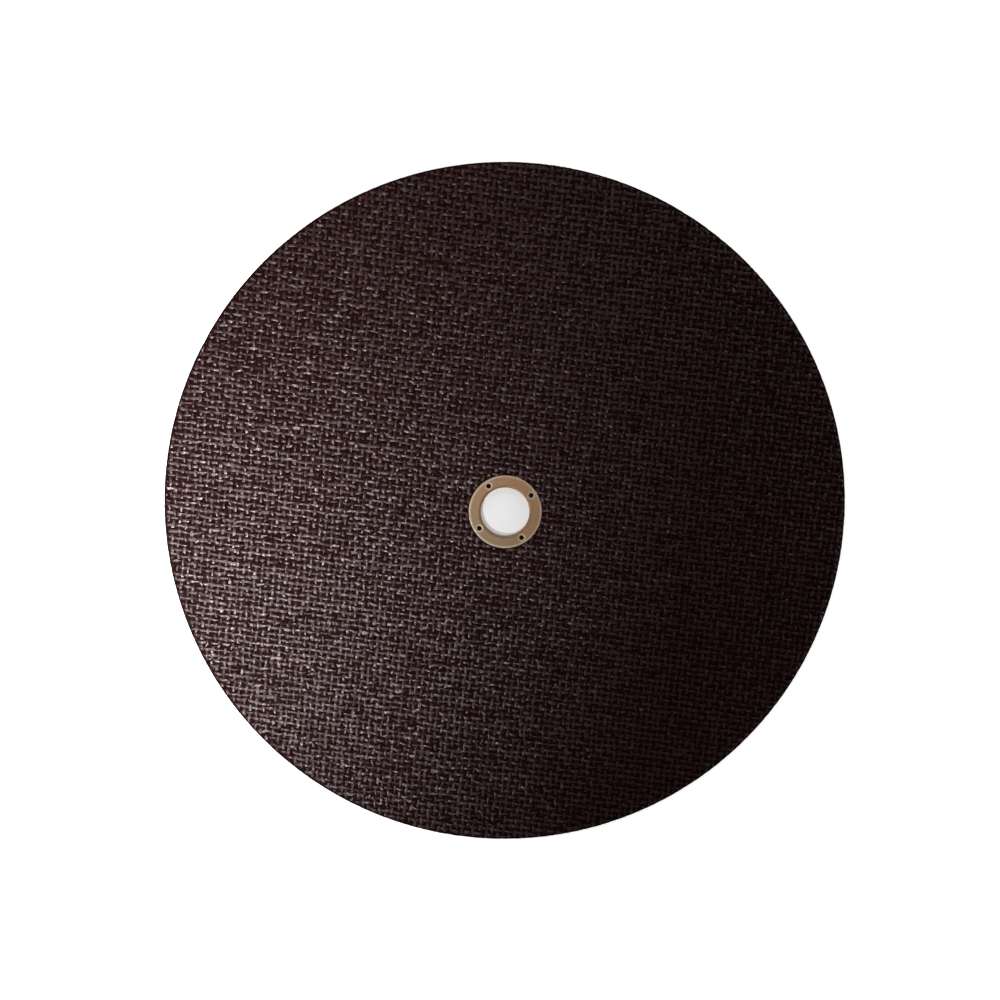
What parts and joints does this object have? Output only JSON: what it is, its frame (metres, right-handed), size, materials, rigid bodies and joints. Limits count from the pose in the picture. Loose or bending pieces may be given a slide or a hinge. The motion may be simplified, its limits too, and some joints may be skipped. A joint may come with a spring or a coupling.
{
  "type": "cut-off wheel",
  "caption": "Thin flat resin-bonded abrasive disc with woven glass net on both faces and a pierced metal ring in its arbor bore, for cutting metal bar and tube in a chop saw.",
  "frame": {"origin": "centre of the arbor bore at the back face, which is the face without the ring's flange", "axes": "+Z along the bore axis and out of the front face, +X and +Y in the plane of the disc"},
  "size_m": [0.355, 0.355, 0.0032],
  "materials": {
    "bonded_abrasive": "dark maroon resin over woven glass net and abrasive grain, half gloss",
    "ring_metal": "satin, lightly rubbed"
  },
  "bodies": {
    "root": {"bonded_wheel": "bonded_abrasive", "centre_ring": "ring_metal"}
  },
  "joints": []
}
